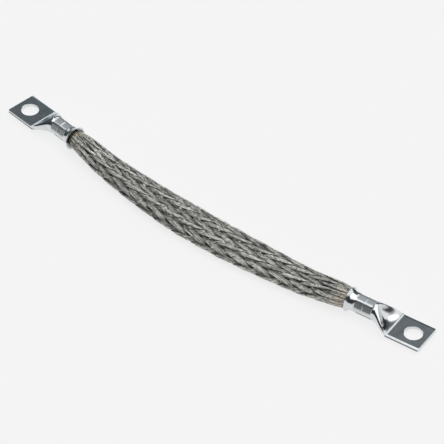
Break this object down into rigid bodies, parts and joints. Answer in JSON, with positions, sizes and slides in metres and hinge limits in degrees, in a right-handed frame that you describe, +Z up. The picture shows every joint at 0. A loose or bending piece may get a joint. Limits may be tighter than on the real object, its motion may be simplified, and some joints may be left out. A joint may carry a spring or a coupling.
{
  "type": "braided earthing strap",
  "caption": "Short flexible strap of flattened tinned copper braid with a crimped tubular cable lug and bolt hole at each end.",
  "frame": {"origin": "on the table, at the middle of the box round the two lugs", "axes": "+X from the left bolt hole to the right one, +Z up from the table the strap lies on"},
  "size_m": [0.1602, 0.0181, 0.0077],
  "materials": {
    "tinned_lug": "bright electro-tinned copper",
    "tinned_wire": "fine tinned copper wires, dull and warm grey"
  },
  "bodies": {
    "root": {"left_lug": "tinned_lug", "right_lug": "tinned_lug", "right_hand_strand_01": "tinned_wire", "right_hand_strand_02": "tinned_wire", "right_hand_strand_03": "tinned_wire", "right_hand_strand_04": "tinned_wire", "right_hand_strand_05": "tinned_wire", "right_hand_strand_06": "tinned_wire", "right_hand_strand_07": "tinned_wire", "right_hand_strand_08": "tinned_wire", "right_hand_strand_09": "tinned_wire", "right_hand_strand_10": "tinned_wire", "right_hand_strand_11": "tinned_wire", "right_hand_strand_12": "tinned_wire", "left_hand_strand_01": "tinned_wire", "left_hand_strand_02": "tinned_wire", "left_hand_strand_03": "tinned_wire", "left_hand_strand_04": "tinned_wire", "left_hand_strand_05": "tinned_wire", "left_hand_strand_06": "tinned_wire", "left_hand_strand_07": "tinned_wire", "left_hand_strand_08": "tinned_wire", "left_hand_strand_09": "tinned_wire", "left_hand_strand_10": "tinned_wire", "left_hand_strand_11": "tinned_wire", "left_hand_strand_12": "tinned_wire"}
  },
  "joints": []
}
